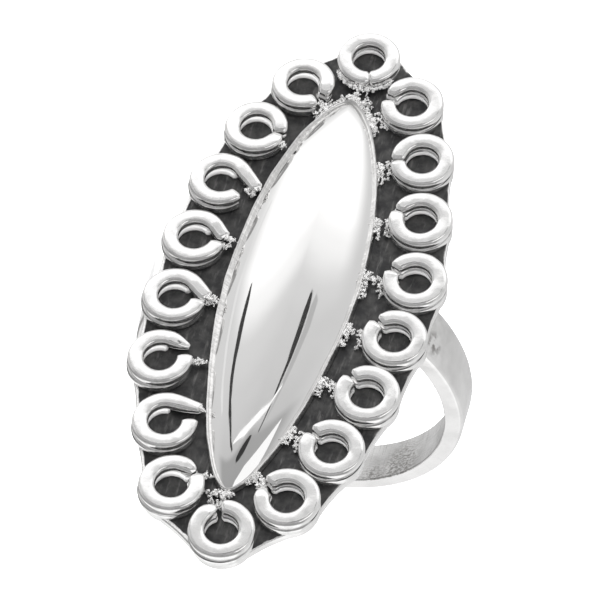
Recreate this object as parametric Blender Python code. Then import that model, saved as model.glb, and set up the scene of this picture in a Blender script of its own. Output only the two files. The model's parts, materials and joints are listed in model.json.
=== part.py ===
"""Cat's eye ring: a long marquise finger ring in sterling silver.

A puffed marquise dome sits in a thin bezel strip on a scalloped backplate.
Eighteen wire loops, two turns each and open towards the dome, stand round it
on the plate. A plain oval shank is soldered under the plate.
Metres, +Z up. The ring is modelled with its plate level, the plate's top at
height zero and the long axis along Y, and is then laid on its side.
"""
import math

import bmesh
import bpy
from mathutils import Matrix, Vector

MM = 0.001

# Row of loops: two equal arcs with eight loops each, and one loop at each tip
ARC_RADIUS = 31.2 * MM
ARC_LOOPS = 8
ROW_HALF_WIDTH = 6.48 * MM
ROW_STEP = math.radians(7.4)
TIP_REACH = 16.0 * MM

# One loop: two turns of flattened round wire, one on the other
WIRE_WIDTH = 0.78 * MM
WIRE_HEIGHT = 0.64 * MM
LOOP_MEAN_RADIUS = 1.35 * MM
TURN_RISE = 0.56 * MM
LOOP_STEPS = 16
WIRE_STEPS = 3

# Backplate: lobes round the loops with shallow webs between them
PLATE_THICKNESS = 0.6 * MM
PLATE_LOBE = 1.76 * MM
LOBE_OVERRUN = math.radians(22)
LOBE_STEP = math.radians(9)
WEB_DIP = 0.05 * MM

# Dome: a low pressed marquise shell with blunt tips, fuller at its north end
DOME_HALF_LENGTH = 13.23 * MM
DOME_HALF_WIDTH = 3.69 * MM
DOME_HEIGHT = 1.35 * MM
DOME_WALL = 0.45 * MM
DOME_TIP_WALL = 0.72 * MM
DOME_SHIFT = -0.25 * MM
NORTH_FULLNESS = 2.3
SOUTH_FULLNESS = 1.5
NORTH_ROUNDNESS = 0.66
SOUTH_ROUNDNESS = 0.6
CROWN_FULLNESS = 2.0
CROWN_ROUNDNESS = 0.7
SIDE_ROUNDNESS = 1.9
DOME_STEPS_ALONG = 26
DOME_STEPS_ACROSS = 16

# Bezel strip round the dome's foot
STRIP_THICKNESS = 0.28 * MM
STRIP_HEIGHT = 0.55 * MM
STRIP_STEPS = 30
SEAT_GAP = 0.2 * MM

# Shank: an oval finger hole, crossed by the plate at the top
HOLE_HALF_WIDTH = 8.65 * MM
HOLE_HALF_HEIGHT = 10.2 * MM
HOLE_CENTRE_DROP = 8.15 * MM
SHANK_THICKNESS = 1.07 * MM
SHANK_WIDTH = 2.5 * MM
SHANK_FLARE = 0.8 * MM
FLARE_START = 0.3
SHANK_NORTH = 0.12 * MM
SHANK_OVERRUN = math.radians(70)
SHANK_STEPS = 44
OUTER_ROUND = 0.22 * MM
INNER_ROUND = 0.07 * MM

# Solder runs from the strip to each loop
SOLDER_WIDTH = 0.7 * MM
SOLDER_WAIST = 0.75
SOLDER_TOP = 0.6
SOLDER_HEIGHT = 0.42 * MM

# How far one soldered piece sinks into the next
SINK = 0.06 * MM

# How the ring lies on a table: on its west side, on two loops and the shank,
# turned about the finger's axis
REST_SPIN = math.radians(-101.5)

# The loops, clockwise from the north tip. They were set by hand: each stands a
# little east or north of its even place (mm), and opens towards a bearing
# (degrees anticlockwise from east) by a width (mm)
LOOP_ROWS = (
    # loop, east, north, bearing, width
    ("01", 0.12, 0.12, 285, 0.10),
    ("02", 0.00, -0.06, 182, 0.25),
    ("03", 0.02, -0.05, 193, 0.10),
    ("04", -0.10, -0.13, 167, 0.12),
    ("05", 0.07, -0.12, 164, 0.28),
    ("06", -0.10, -0.06, 144, 0.25),
    ("07", -0.15, 0.10, 142, 0.22),
    ("08", -0.13, 0.20, 150, 0.22),
    ("09", -0.15, 0.40, 156, 0.28),
    ("10", 0.26, 0.12, 111, 0.32),
    ("11", 0.18, -0.15, 42, 0.10),
    ("12", 0.23, -0.14, 28, 0.55),
    ("13", -0.14, -0.15, 31, 0.50),
    ("14", -0.02, -0.06, 5, 0.36),
    ("15", -0.02, -0.01, 358, 0.34),
    ("16", -0.07, 0.07, 340, 0.52),
    ("17", -0.11, 0.11, 351, 0.18),
    ("18", 0.20, -0.02, 318, 0.48),
)

SILVER = (0.86, 0.86, 0.85, 1.0)
SETTING_ROUGHNESS = 0.16
DOME_ROUGHNESS = 0.08


def clear_scene():
    for item in list(bpy.data.objects):
        bpy.data.objects.remove(item, do_unlink=True)


def silver(name, roughness):
    material = bpy.data.materials.new(name)
    material.use_nodes = True
    shader = material.node_tree.nodes["Principled BSDF"]
    shader.inputs["Base Color"].default_value = SILVER
    shader.inputs["Metallic"].default_value = 1.0
    shader.inputs["Roughness"].default_value = roughness
    material.diffuse_color = SILVER
    return material


def new_object(name, form):
    bmesh.ops.recalc_face_normals(form, faces=form.faces)
    mesh = bpy.data.meshes.new(name)
    form.to_mesh(mesh)
    form.free()
    item = bpy.data.objects.new(name, mesh)
    bpy.context.scene.collection.objects.link(item)
    return item


def skin(form, rings, closed):
    """Skin equal rings of points; close the run, or cap its two ends."""
    rows = [[form.verts.new(point) for point in ring] for ring in rings]
    count = len(rows[0])
    runs = len(rows) if closed else len(rows) - 1
    for index in range(runs):
        here = rows[index]
        there = rows[(index + 1) % len(rows)]
        for side in range(count):
            after = (side + 1) % count
            form.faces.new((here[side], here[after], there[after], there[side]))
    if not closed:
        form.faces.new(rows[0])
        form.faces.new(rows[-1])


# Backplate and loops


def loop_centres():
    """Centres of the loops, clockwise from the north tip."""
    arc_centre = ROW_HALF_WIDTH - ARC_RADIUS
    east = []
    for step in range(ARC_LOOPS):
        angle = ((ARC_LOOPS - 1) / 2 - step) * ROW_STEP
        east.append(Vector((arc_centre + ARC_RADIUS * math.cos(angle), ARC_RADIUS * math.sin(angle))))
    west = [Vector((-spot.x, spot.y)) for spot in reversed(east)]
    even = [Vector((0, TIP_REACH))] + east + [Vector((0, -TIP_REACH))] + west
    return [spot + Vector((row[1], row[2])) * MM for spot, row in zip(even, LOOP_ROWS)]


def outward_bearings(centres):
    """Outward bearing of the line from each loop to the next one."""
    bearings = []
    for index, spot in enumerate(centres):
        run = centres[(index + 1) % len(centres)] - spot
        bearings.append(math.atan2(run.x, -run.y))
    return bearings


def ray(angle):
    return Vector((math.cos(angle), math.sin(angle)))


def plate_outline(centres):
    """An arc round each loop, and the middle of the web that follows it."""
    bearings = outward_bearings(centres)
    web_reach = PLATE_LOBE * math.cos(LOBE_OVERRUN) - WEB_DIP
    outline = []
    for index, spot in enumerate(centres):
        start = bearings[index - 1] + LOBE_OVERRUN
        turn = (start - bearings[index] + LOBE_OVERRUN) % (2 * math.pi)
        pieces = round(turn / LOBE_STEP)
        for piece in range(pieces + 1):
            outline.append(spot + PLATE_LOBE * ray(start - turn * piece / pieces))
        middle = (spot + centres[(index + 1) % len(centres)]) / 2
        outline.append(middle + web_reach * ray(bearings[index]))
    return outline


def backplate(centres):
    outline = plate_outline(centres)
    rings = [[(point.x, point.y, level) for point in outline] for level in (-PLATE_THICKNESS, 0.0)]
    form = bmesh.new()
    skin(form, rings, closed=False)
    return new_object("setting", form)


def turn_side(side):
    """One side of the two turns, from the bottom up, as (out, up)."""
    seam = math.asin(TURN_RISE / WIRE_HEIGHT)
    points = []
    for level, low, high in ((0, -math.pi / 2, seam), (1, -seam, math.pi / 2)):
        for step in range(level, WIRE_STEPS + 1):
            angle = low + (high - low) * step / WIRE_STEPS
            middle = WIRE_HEIGHT / 2 - SINK + level * TURN_RISE
            up = middle + WIRE_HEIGHT / 2 * math.sin(angle)
            points.append((side * WIRE_WIDTH / 2 * math.cos(angle), up))
    return points


def loops(centres):
    """All loops in one mesh: each is an open ring with flat ends."""
    profile = turn_side(1) + list(reversed(turn_side(-1)[1:-1]))
    form = bmesh.new()
    for spot, (_, _, _, bearing, width) in zip(centres, LOOP_ROWS):
        half_gap = width * MM / 2 / LOOP_MEAN_RADIUS
        start = math.radians(bearing) + half_gap
        rings = []
        for step in range(LOOP_STEPS + 1):
            direction = ray(start + (2 * math.pi - 2 * half_gap) * step / LOOP_STEPS)
            flat = [spot + direction * (LOOP_MEAN_RADIUS + out) for out, _ in profile]
            rings.append([(point.x, point.y, up) for point, (_, up) in zip(flat, profile)])
        skin(form, rings, closed=False)
    return new_object("loops", form)


# Bezel strip and solder


def half_width_at(along, half_width):
    """Half width of the marquise at a place along it, from -1 (south) to 1."""
    if along > 0:
        return half_width * (1 - along ** NORTH_FULLNESS) ** NORTH_ROUNDNESS
    return half_width * (1 - abs(along) ** SOUTH_FULLNESS) ** SOUTH_ROUNDNESS


def foot_outline(growth, steps):
    """The outline of the dome's foot, grown all round by an equal margin."""
    east = []
    for step in range(steps + 1):
        along = math.cos(math.pi * step / steps)
        east.append(Vector((half_width_at(along, DOME_HALF_WIDTH), along * DOME_HALF_LENGTH)))
    outline = east + [Vector((-point.x, point.y)) for point in reversed(east[1:-1])]
    grown = []
    for index, point in enumerate(outline):
        run = outline[(index + 1) % len(outline)] - outline[index - 1]
        outward = Vector((-run.y, run.x)).normalized()
        grown.append(point + outward * growth + Vector((DOME_SHIFT, 0)))
    return grown


def bezel_strip():
    inner = foot_outline(SEAT_GAP, STRIP_STEPS)
    outer = foot_outline(SEAT_GAP + STRIP_THICKNESS, STRIP_STEPS)
    rings = []
    for near, far in zip(inner, outer):
        corners = ((near, -SINK), (far, -SINK), (far, STRIP_HEIGHT), (near, STRIP_HEIGHT))
        rings.append([(point.x, point.y, level) for point, level in corners])
    form = bmesh.new()
    skin(form, rings, closed=True)
    return new_object("bezel_strip", form)


def solder_runs(centres):
    """A low run of solder from the middle of the strip's wall into each loop."""
    strip = foot_outline(SEAT_GAP + STRIP_THICKNESS / 2, 3 * STRIP_STEPS)
    form = bmesh.new()
    for spot in centres:
        foot = min(strip, key=lambda point: (point - spot).length)
        line = (foot - spot).normalized()
        side = Vector((-line.y, line.x)) * SOLDER_WIDTH / 2
        start = spot + line * LOOP_MEAN_RADIUS
        rings = []
        for place, slim in ((start, 1), ((start + foot) / 2, SOLDER_WAIST), (foot, 1)):
            wide = side * slim
            slope = side * slim * SOLDER_TOP
            corners = ((wide, -SINK), (-wide, -SINK), (-slope, SOLDER_HEIGHT), (slope, SOLDER_HEIGHT))
            rings.append([(place.x + shift.x, place.y + shift.y, level) for shift, level in corners])
        skin(form, rings, closed=False)
    return new_object("solder_runs", form)


# Shank


def shank_section(half):
    """Section of the band as (out from the hole, along the finger)."""
    side = [
        (0.0, half - INNER_ROUND),
        (INNER_ROUND, half),
        (SHANK_THICKNESS - OUTER_ROUND, half),
        (SHANK_THICKNESS, half - OUTER_ROUND),
    ]
    return side + [(out, -along) for out, along in reversed(side)]


def shank():
    """An oval band, wider towards the plate, cut level inside the plate."""
    rings = []
    for step in range(SHANK_STEPS + 1):
        angle = -SHANK_OVERRUN + (math.pi + 2 * SHANK_OVERRUN) * step / SHANK_STEPS
        flare = SHANK_FLARE * max(0.0, FLARE_START - math.sin(angle))
        ring = []
        for out, along in shank_section((SHANK_WIDTH + flare) / 2):
            x = (HOLE_HALF_WIDTH + out) * math.cos(angle)
            z = -HOLE_CENTRE_DROP - (HOLE_HALF_HEIGHT + out) * math.sin(angle)
            ring.append((x, along + SHANK_NORTH, z))
        rings.append(ring)
    form = bmesh.new()
    skin(form, rings, closed=False)
    cut = bmesh.ops.bisect_plane(
        form,
        geom=form.verts[:] + form.edges[:] + form.faces[:],
        plane_co=(0, 0, -PLATE_THICKNESS / 2),
        plane_no=(0, 0, 1),
        clear_outer=True,
    )
    edges = [item for item in cut["geom_cut"] if isinstance(item, bmesh.types.BMEdge)]
    bmesh.ops.holes_fill(form, edges=edges)
    return new_object("shank", form)


# Setting: all that is soldered together


def solder_on(base, addition):
    """Union the addition into the base and remove it."""
    join = base.modifiers.new("solder", "BOOLEAN")
    join.operation = "UNION"
    join.solver = "EXACT"
    join.object = addition
    evaluated = base.evaluated_get(bpy.context.evaluated_depsgraph_get())
    base.data = bpy.data.meshes.new_from_object(evaluated)
    base.modifiers.remove(join)
    bpy.data.objects.remove(addition, do_unlink=True)


def setting():
    centres = loop_centres()
    body = backplate(centres)
    for addition in (loops(centres), bezel_strip(), solder_runs(centres), shank()):
        solder_on(body, addition)
    return body


# Dome


def dome_skin(form, wall, tip_wall):
    """The dome's surface, set in by a wall; returns the points of its rim."""
    half_length = DOME_HALF_LENGTH - tip_wall
    rows = []
    for step in range(1, DOME_STEPS_ALONG):
        along = -math.cos(math.pi * step / DOME_STEPS_ALONG)
        reach = half_width_at(along, DOME_HALF_WIDTH - wall)
        crown = (DOME_HEIGHT - wall) * (1 - abs(along) ** CROWN_FULLNESS) ** CROWN_ROUNDNESS
        row = []
        for place in range(DOME_STEPS_ACROSS + 1):
            angle = math.pi * place / DOME_STEPS_ACROSS
            x = DOME_SHIFT + reach * math.cos(angle)
            height = SEAT_GAP + crown * max(0.0, math.sin(angle)) ** SIDE_ROUNDNESS
            row.append(form.verts.new((x, along * half_length, height)))
        rows.append(row)
    tips = [form.verts.new((DOME_SHIFT, sign * half_length, SEAT_GAP)) for sign in (-1, 1)]
    for side in range(DOME_STEPS_ACROSS):
        for here, there in zip(rows, rows[1:]):
            form.faces.new((here[side], here[side + 1], there[side + 1], there[side]))
        form.faces.new((tips[0], rows[0][side], rows[0][side + 1]))
        form.faces.new((tips[1], rows[-1][side], rows[-1][side + 1]))
    east = [row[0] for row in rows]
    west = [row[-1] for row in reversed(rows)]
    return [tips[0]] + east + [tips[1]] + west


def dome():
    """The puffed marquise, a shell that is open underneath."""
    form = bmesh.new()
    outer = dome_skin(form, 0.0, 0.0)
    inner = dome_skin(form, DOME_WALL, DOME_TIP_WALL)
    for index in range(len(outer)):
        form.faces.new((outer[index - 1], outer[index], inner[index], inner[index - 1]))
    return new_object("cats_eye_dome", form)


# Finish and rest


def shade_round(item):
    """Smooth shading, with the sawn and cut edges kept sharp."""
    item.data.shade_smooth()
    item.data.set_sharp_from_angle(angle=math.radians(50))


def lay_down(items):
    """Turn the ring on its side, over the origin and with its lowest point at height zero."""
    rest = bpy.data.objects.new("rest", None)
    bpy.context.scene.collection.objects.link(rest)
    turn = Matrix.Rotation(REST_SPIN, 4, "Y")
    points = [turn @ vertex.co for item in items for vertex in item.data.vertices]
    middle_x = (min(point.x for point in points) + max(point.x for point in points)) / 2
    middle_y = (min(point.y for point in points) + max(point.y for point in points)) / 2
    lowest = min(point.z for point in points)
    rest.matrix_world = Matrix.Translation((-middle_x, -middle_y, -lowest)) @ turn
    for item in items:
        item.parent = rest


def main():
    clear_scene()
    metal = setting()
    crown = dome()
    for item, roughness in ((metal, SETTING_ROUGHNESS), (crown, DOME_ROUGHNESS)):
        item.data.materials.clear()
        item.data.materials.append(silver(item.name + "_silver", roughness))
        shade_round(item)
    lay_down([metal, crown])


main()
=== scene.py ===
"""Cat's eye ring: the finished look of a long marquise finger ring in sterling silver.

The pieces are worked out with the plate level, its top at height zero and the
ring's long axis along Y, and are then laid where the frame has the ring, on
its side. Metres.
"""
import json
import math
import random

import bmesh
import bpy
from mathutils import Matrix, Vector, noise
from mathutils.kdtree import KDTree


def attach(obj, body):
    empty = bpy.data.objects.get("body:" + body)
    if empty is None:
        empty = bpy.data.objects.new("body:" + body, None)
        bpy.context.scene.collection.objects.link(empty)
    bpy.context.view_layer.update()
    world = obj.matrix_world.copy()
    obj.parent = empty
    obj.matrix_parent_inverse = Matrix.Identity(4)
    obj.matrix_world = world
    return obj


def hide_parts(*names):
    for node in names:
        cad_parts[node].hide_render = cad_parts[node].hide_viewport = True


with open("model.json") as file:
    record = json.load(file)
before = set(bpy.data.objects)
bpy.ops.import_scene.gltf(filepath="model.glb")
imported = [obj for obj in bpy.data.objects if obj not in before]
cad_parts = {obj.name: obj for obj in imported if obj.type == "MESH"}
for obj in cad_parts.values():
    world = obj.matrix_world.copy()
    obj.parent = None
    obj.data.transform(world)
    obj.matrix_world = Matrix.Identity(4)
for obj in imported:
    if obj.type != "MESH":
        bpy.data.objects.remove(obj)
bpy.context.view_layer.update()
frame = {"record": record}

MM = 0.001

# The shank
# A plain band of sterling silver, rolled, bent to an oval and soldered under the
# plate. Its outer edges are polished round. Its inside is satin, with scratches.

HOLE_HALF_WIDTH = 8.65 * MM
HOLE_HALF_HEIGHT = 10.2 * MM
HOLE_CENTRE_DROP = 8.15 * MM
SHANK_THICKNESS = 1.07 * MM
SHANK_WIDTH = 2.5 * MM
SHANK_FLARE = 0.8 * MM
FLARE_START = 0.3
SHANK_NORTH = 0.12 * MM
SHANK_OVERRUN = math.radians(70)
SHANK_STEPS = 160
OUTER_ROUND = 0.34 * MM
INNER_ROUND = 0.1 * MM
ROUND_STEPS = 6
SHARP_EDGE = math.radians(40)
PLATE_THICKNESS = 0.6 * MM

# Dark marks in the shank: a place, and the distances of full and of no dark (mm)
SMUDGE = ((7.9, -0.35, -1.9), 0.2, 1.0)
FILED_LOW = ((5.6, -0.5, -15.9), 0.7, 2.1)
FILED_BOTTOM = ((4.0, -1.0, -17.2), 0.2, 1.4)

plate_back = next(mount for mount in frame["record"]["mounts"] if mount["name"] == "plate_back")
plate_down = Vector(plate_back["axis"])
lean = Matrix.Rotation(math.atan2(-plate_down.x, -plate_down.z), 4, "Y")
laid = Matrix.Translation(Vector(plate_back["pos_m"]) - lean @ Vector((0, 0, -PLATE_THICKNESS))) @ lean


def new_piece(name, form, slot, *finishes):
    """A piece from a finished shape of the level ring."""
    mesh = bpy.data.meshes.new(name)
    form.to_mesh(mesh)
    form.free()
    return lay(name, mesh, slot, *finishes)


def lay(name, mesh, slot, *finishes):
    """Lay a mesh of the level ring where the frame has the ring, and put it on the body."""
    mesh.transform(laid)
    mesh.shade_smooth()
    mesh.set_sharp_from_angle(angle=SHARP_EDGE)
    for finish in finishes:
        mesh.materials.append(finish)
    piece = bpy.data.objects.new(name, mesh)
    bpy.context.scene.collection.objects.link(piece)
    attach(piece, "root")
    return piece


def skin(form, rings, closed):
    """Skin equal rings of points; close the run, or cap its two ends."""
    rows = [[form.verts.new(point) for point in ring] for ring in rings]
    count = len(rows[0])
    runs = len(rows) if closed else len(rows) - 1
    for index in range(runs):
        here = rows[index]
        there = rows[(index + 1) % len(rows)]
        for side in range(count):
            after = (side + 1) % count
            form.faces.new((here[side], here[after], there[after], there[side]))
    if not closed:
        form.faces.new(rows[0])
        form.faces.new(rows[-1])
    return rows


class Nodes:
    """Short calls that build up a tree of nodes."""

    def __init__(self, tree):
        self.tree = tree

    def add(self, kind, sources={}, **settings):
        """A new node, with a value or another node's output for each input that is named."""
        node = self.tree.nodes.new(kind)
        for key, value in settings.items():
            setattr(node, key, value)
        for label, source in sources.items():
            self.join(source, node.inputs[label])
        return node

    def join(self, source, target):
        if isinstance(source, bpy.types.NodeSocket):
            self.tree.links.new(source, target)
        else:
            target.default_value = source

    def maths(self, operation, first, second=0.0):
        return self.add("ShaderNodeMath", {0: first, 1: second}, operation=operation).outputs["Value"]

    def times(self, first, second):
        return self.maths("MULTIPLY", first, second)

    def plus(self, first, second):
        return self.maths("ADD", first, second)

    def minus(self, first, second):
        return self.maths("SUBTRACT", first, second)

    def larger(self, first, second):
        return self.maths("MAXIMUM", first, second)

    def scaled(self, vector, scale):
        node = self.add("ShaderNodeVectorMath", {0: vector, "Scale": scale}, operation="SCALE")
        return node.outputs["Vector"]

    def between(self, source, low, high, out_low=0.0, out_high=1.0):
        """Smoothly map low to high onto two new values."""
        ends = {"From Min": low, "From Max": high, "To Min": out_low, "To Max": out_high}
        step = self.add("ShaderNodeMapRange", {"Value": source, **ends}, interpolation_type="SMOOTHSTEP")
        return step.outputs["Result"]

    def blend(self, factor, first, second):
        """A colour between two, by a factor."""
        node = self.add("ShaderNodeMix", {"Factor": factor, "A": first, "B": second}, data_type="RGBA")
        return node.outputs["Result"]


class Finish(Nodes):
    """A metal surface. Its patterns are in millimetres on the level ring."""

    def __init__(self, name, roughness):
        self.material = bpy.data.materials.new(name)
        self.material.use_nodes = True
        super().__init__(self.material.node_tree)
        self.shader = self.tree.nodes["Principled BSDF"]
        self.use("Metallic", 1.0)
        self.use("Roughness", roughness)
        back = laid.inverted()
        level = {"Location": back.translation / MM, "Rotation": back.to_euler(), "Scale": [1 / MM] * 3}
        spot = self.add("ShaderNodeTexCoord").outputs["Object"]
        self.place = self.add("ShaderNodeMapping", {"Vector": spot, **level}).outputs["Vector"]

    def use(self, label, source):
        """Give one of the surface's own inputs a value or another node's output."""
        self.join(source, self.shader.inputs[label])

    def grain(self, size, detail=2.0, roughness=0.5, stretch=(1, 1, 1), turn=(0, 0, 0)):
        """Cloudy noise whose features are about size millimetres across."""
        scale = [1 / (size * share) for share in stretch]
        shift = self.add("ShaderNodeMapping", {"Vector": self.place, "Rotation": turn, "Scale": scale})
        look = {"Scale": 1.0, "Detail": detail, "Roughness": roughness}
        return self.add("ShaderNodeTexNoise", {"Vector": shift.outputs["Vector"], **look}).outputs["Fac"]

    def part_of_place(self, axis):
        return self.add("ShaderNodeSeparateXYZ", {"Vector": self.place}).outputs[axis]

    def near(self, point, inside, outside):
        """One within a distance of a point, fading to zero at a second one (mm)."""
        node = self.add("ShaderNodeVectorMath", {0: self.place, 1: point}, operation="DISTANCE")
        return self.between(node.outputs["Value"], inside, outside, 1.0, 0.0)

    def relief(self, *layers):
        """Bump layers of (height, depth in millimetres), the first one lowest."""
        below = {}
        for height, depth in layers:
            bump = self.add("ShaderNodeBump", {"Distance": depth * MM, "Height": height, **below})
            below = {"Normal": bump.outputs["Normal"]}
        self.use("Normal", below["Normal"])


BRIGHT = (0.93, 0.925, 0.92, 1.0)
WORN = (0.80, 0.795, 0.79, 1.0)
DULL = (0.62, 0.615, 0.61, 1.0)
SMOKED = (0.30, 0.29, 0.28, 1.0)


def shank_outside():
    """Polished, with smoke from the soldering up at the plate, and one dark smudge."""
    finish = Finish("shank_polish", 0.16)
    clouds = finish.grain(2.4, detail=3)
    hairs = finish.grain(0.5, stretch=(6, 0.08, 6), detail=3)
    height = finish.part_of_place("Z")
    smoke = finish.times(finish.between(height, -4.2, -0.6), finish.between(clouds, 0.42, 0.66))
    blur = finish.grain(0.5, detail=4)
    smudge = finish.times(finish.near(*SMUDGE), finish.between(blur, 0.42, 0.6))
    smoke = finish.larger(finish.times(smoke, 0.5), smudge)
    colour = finish.blend(finish.between(clouds, 0.35, 0.7), BRIGHT, WORN)
    finish.use("Base Color", finish.blend(smoke, colour, SMOKED))
    finish.use("Roughness", finish.between(hairs, 0.3, 0.75, 0.12, 0.24))
    finish.relief((clouds, 0.012), (hairs, 0.0012))
    return finish.material


def shank_inside():
    """Satin, scratched along and across, with coarse file marks near its bottom."""
    finish = Finish("shank_satin", 0.3)
    clouds = finish.grain(1.6, detail=4)
    along = finish.grain(0.35, stretch=(5, 0.12, 5), detail=3)
    across = finish.grain(0.3, stretch=(0.16, 6, 0.16), detail=3)
    file = finish.grain(0.24, stretch=(1.0, 0.45, 1.0), turn=(0.5, 0.3, 0.4), detail=4, roughness=0.75)
    filed = finish.larger(finish.near(*FILED_LOW), finish.near(*FILED_BOTTOM))
    filed = finish.times(filed, finish.between(file, 0.48, 0.54))
    marks = finish.larger(finish.between(across, 0.6, 0.72), filed)
    shade = finish.blend(finish.between(clouds, 0.35, 0.7), WORN, DULL)
    colour = finish.blend(finish.times(marks, 0.9), shade, SMOKED)
    finish.use("Base Color", colour)
    finish.use("Roughness", finish.between(along, 0.3, 0.7, 0.24, 0.4))
    finish.relief((along, 0.002), (marks, 0.003))
    return finish.material


def corner(out, along, radius, start):
    """A rounded corner of the band, as points of (out from the hole, along the finger)."""
    points = []
    for step in range(ROUND_STEPS + 1):
        angle = math.radians(start - 90 * step / ROUND_STEPS)
        points.append((out + radius * math.cos(angle), along + radius * math.sin(angle)))
    return points


def band_section(half):
    """The band's section as points of (out from the hole, along the finger)."""
    inner = corner(INNER_ROUND, half - INNER_ROUND, INNER_ROUND, 180)
    outer = corner(SHANK_THICKNESS - OUTER_ROUND, half - OUTER_ROUND, OUTER_ROUND, 90)
    side = inner + outer
    return side + [(out, -along) for out, along in reversed(side)]


band = bmesh.new()
rings = []
for step in range(SHANK_STEPS + 1):
    angle = -SHANK_OVERRUN + (math.pi + 2 * SHANK_OVERRUN) * step / SHANK_STEPS
    flare = SHANK_FLARE * max(0.0, FLARE_START - math.sin(angle))
    ring = []
    for out, along in band_section((SHANK_WIDTH + flare) / 2):
        x = (HOLE_HALF_WIDTH + out) * math.cos(angle)
        z = -HOLE_CENTRE_DROP - (HOLE_HALF_HEIGHT + out) * math.sin(angle)
        ring.append((x, along + SHANK_NORTH, z))
    rings.append(ring)
skin(band, rings, closed=False)
for face in band.faces:
    middle = face.calc_center_median()
    reach = math.hypot(middle.x / HOLE_HALF_WIDTH, (middle.z + HOLE_CENTRE_DROP) / HOLE_HALF_HEIGHT)
    face.material_index = 1 if reach < 1 + INNER_ROUND / HOLE_HALF_HEIGHT else 0
cut = bmesh.ops.bisect_plane(
    band,
    geom=band.verts[:] + band.edges[:] + band.faces[:],
    plane_co=(0, 0, -PLATE_THICKNESS / 2),
    plane_no=(0, 0, 1),
    clear_outer=True,
)
open_edges = [item for item in cut["geom_cut"] if isinstance(item, bmesh.types.BMEdge)]
bmesh.ops.holes_fill(band, edges=open_edges)
bmesh.ops.recalc_face_normals(band, faces=band.faces)
shank = new_piece("shank", band, "setting_silver", shank_outside(), shank_inside())
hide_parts("setting")

# The backplate
# A flat sheet of silver, sawn round the loops to a scalloped edge. Its top is
# oxidised dark, save for a rim that the polishing wheel reaches, mostly in the west.

ARC_RADIUS = 31.2 * MM
ARC_LOOPS = 8
ROW_HALF_WIDTH = 6.48 * MM
ROW_STEP = math.radians(7.4)
TIP_REACH = 16.0 * MM
PLATE_LOBE = 1.76 * MM
LOBE_OVERRUN = math.radians(22)
LOBE_STEP = math.radians(4)
WEB_DIP = 0.09 * MM
WEB_STEPS = 6
PLATE_BEVEL = 0.07 * MM
BEVEL_STEPS = 3
RIM = 0.26 * MM
EAST_POLISH = 0.45
BLACKENED = (0.038, 0.038, 0.039, 1.0)
FADED = (0.08, 0.079, 0.078, 1.0)
RUBBED = (0.22, 0.216, 0.21, 1.0)
BARE = (0.42, 0.41, 0.40, 1.0)

# Each loop stands a little east or north of its even place (mm), and opens
# towards a bearing (degrees anticlockwise from east) by a width (mm). Some leave
# the circle early, at a bearing, in a straight arm (mm) that runs to the dome. An
# end keeps a share of the wire's thickness.
LOOP_ROWS = (
    # loop, east, north, bearing, width, arm leaves, arm length, first point, last point
    ("01", 0.12, 0.12, 285, 0.0, 0, 0.0, 1.0, 1.0),
    ("02", 0.00, -0.06, 176, 0.42, 0, 0.0, 0.9, 0.6),
    ("03", 0.02, -0.05, 193, 0.10, 0, 0.0, 1.0, 0.9),
    ("04", -0.10, -0.13, 167, 0.12, 0, 0.0, 0.9, 0.7),
    ("05", 0.07, -0.12, 164, 0.28, 0, 0.0, 1.0, 0.8),
    ("06", -0.10, -0.06, 144, 0.25, 0, 0.0, 1.0, 0.8),
    ("07", -0.15, 0.10, 142, 0.22, 0, 0.0, 1.0, 0.9),
    ("08", -0.13, 0.20, 150, 0.22, 0, 0.0, 0.9, 0.9),
    ("09", -0.15, 0.40, 156, 0.28, 0, 0.0, 0.35, 0.9),
    ("10", 0.26, 0.12, 111, 0.32, 0, 0.0, 0.5, 0.9),
    ("11", 0.18, -0.15, 41, 0.18, 0, 0.0, 0.5, 0.9),
    ("12", 0.23, -0.14, 24, 0.45, 89, 1.7, 0.6, 1.0),
    ("13", -0.14, -0.15, 28, 0.50, 81, 1.15, 0.35, 1.0),
    ("14", 0.04, -0.06, 5, 0.32, 52, 1.2, 0.9, 1.0),
    ("15", 0.04, -0.01, 360, 0.22, 48, 1.0, 0.9, 0.9),
    ("16", -0.07, 0.07, 335, 0.36, 49, 1.7, 0.8, 0.9),
    ("17", -0.11, 0.11, 355, 0.12, 0, 0.0, 0.85, 0.7),
    ("18", 0.20, -0.02, 326, 0.55, 0, 0.0, 0.6, 0.9),
)


def ray(angle):
    return Vector((math.cos(angle), math.sin(angle)))


def loop_centres():
    """Centres of the loops, clockwise from the north tip."""
    arc_centre = ROW_HALF_WIDTH - ARC_RADIUS
    east = []
    for step in range(ARC_LOOPS):
        angle = ((ARC_LOOPS - 1) / 2 - step) * ROW_STEP
        east.append(Vector((arc_centre + ARC_RADIUS * math.cos(angle), ARC_RADIUS * math.sin(angle))))
    west = [Vector((-spot.x, spot.y)) for spot in reversed(east)]
    even = [Vector((0, TIP_REACH))] + east + [Vector((0, -TIP_REACH))] + west
    return [spot + Vector((row[1], row[2])) * MM for spot, row in zip(even, LOOP_ROWS)]


centres = loop_centres()


def plate_outline():
    """Clockwise: an arc round each loop, then the shallow web that follows it."""
    bearings = []
    for index, spot in enumerate(centres):
        run = centres[(index + 1) % len(centres)] - spot
        bearings.append(math.atan2(run.x, -run.y))
    outline = []
    for index, spot in enumerate(centres):
        start = bearings[index - 1] + LOBE_OVERRUN
        turn = (start - bearings[index] + LOBE_OVERRUN) % (2 * math.pi)
        pieces = round(turn / LOBE_STEP)
        for piece in range(pieces + 1):
            outline.append(spot + PLATE_LOBE * ray(start - turn * piece / pieces))
        leave = outline[-1]
        arrive = centres[(index + 1) % len(centres)] + PLATE_LOBE * ray(bearings[index] + LOBE_OVERRUN)
        for piece in range(1, WEB_STEPS):
            share = piece / WEB_STEPS
            dip = WEB_DIP * math.sin(math.pi * share)
            outline.append(leave.lerp(arrive, share) - dip * ray(bearings[index]))
    return outline


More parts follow.
